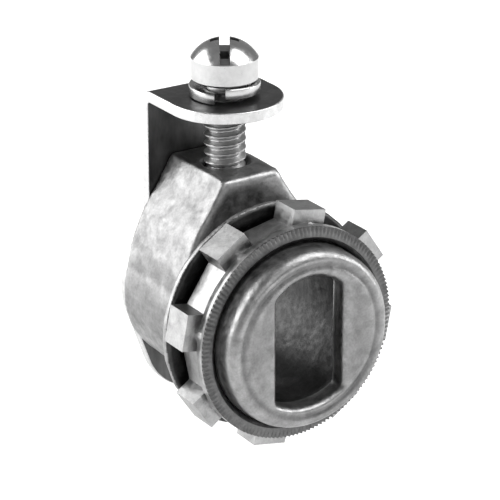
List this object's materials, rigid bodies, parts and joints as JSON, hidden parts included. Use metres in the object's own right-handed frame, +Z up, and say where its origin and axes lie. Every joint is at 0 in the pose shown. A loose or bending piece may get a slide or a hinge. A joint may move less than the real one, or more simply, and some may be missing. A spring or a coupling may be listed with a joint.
{
  "type": "saddle-clamp conduit connector",
  "caption": "Die-cast conduit connector: flanged hub with a lugged locknut, a rear socket, and a bent steel saddle that a top screw draws down onto the conduit.",
  "frame": {"origin": "centre of the flange's front face, on the axis of the hub and the conduit bore", "axes": "-Y through the box wall, +Y towards the conduit, +Z up the clamp screw"},
  "size_m": [0.0278, 0.0248, 0.0444],
  "materials": {
    "zinc_casting": "satin",
    "zinc_nut": "satin",
    "saddle_steel": "satin",
    "plated_screw": "bright plated",
    "plated_washer": "bright plated"
  },
  "bodies": {
    "casting": {"connector_body": "zinc_casting"},
    "nut": {"locknut": "zinc_nut"},
    "saddle": {"clamp_saddle": "saddle_steel"},
    "screw": {"clamp_screw": "plated_screw"},
    "washer": {"lock_washer": "plated_washer"}
  },
  "joints": [
    {"name": "locknut_travel", "type": "slide", "parent": "casting", "child": "nut", "axis": [0, -1, 0], "range_m": [-0.0007, 0.008]},
    {"name": "saddle_drop", "type": "slide", "parent": "casting", "child": "saddle", "axis": [0, 0, -1], "range_m": [0, 0.0062]},
    {"name": "screw_turn", "type": "hinge", "parent": "saddle", "child": "screw", "pos_m": [0, 0.0089, 0.0254], "axis": [0, 0, -1], "range_deg": [0, 2112]},
    {"name": "washer_turn", "type": "hinge", "parent": "saddle", "child": "washer", "pos_m": [0, 0.0089, 0.0245], "axis": [0, 0, -1], "continuous": true}
  ],
  "couplings": [
    {"joint": "screw_turn", "follows": "saddle_drop", "rad_per_m": 5936.7}
  ]
}
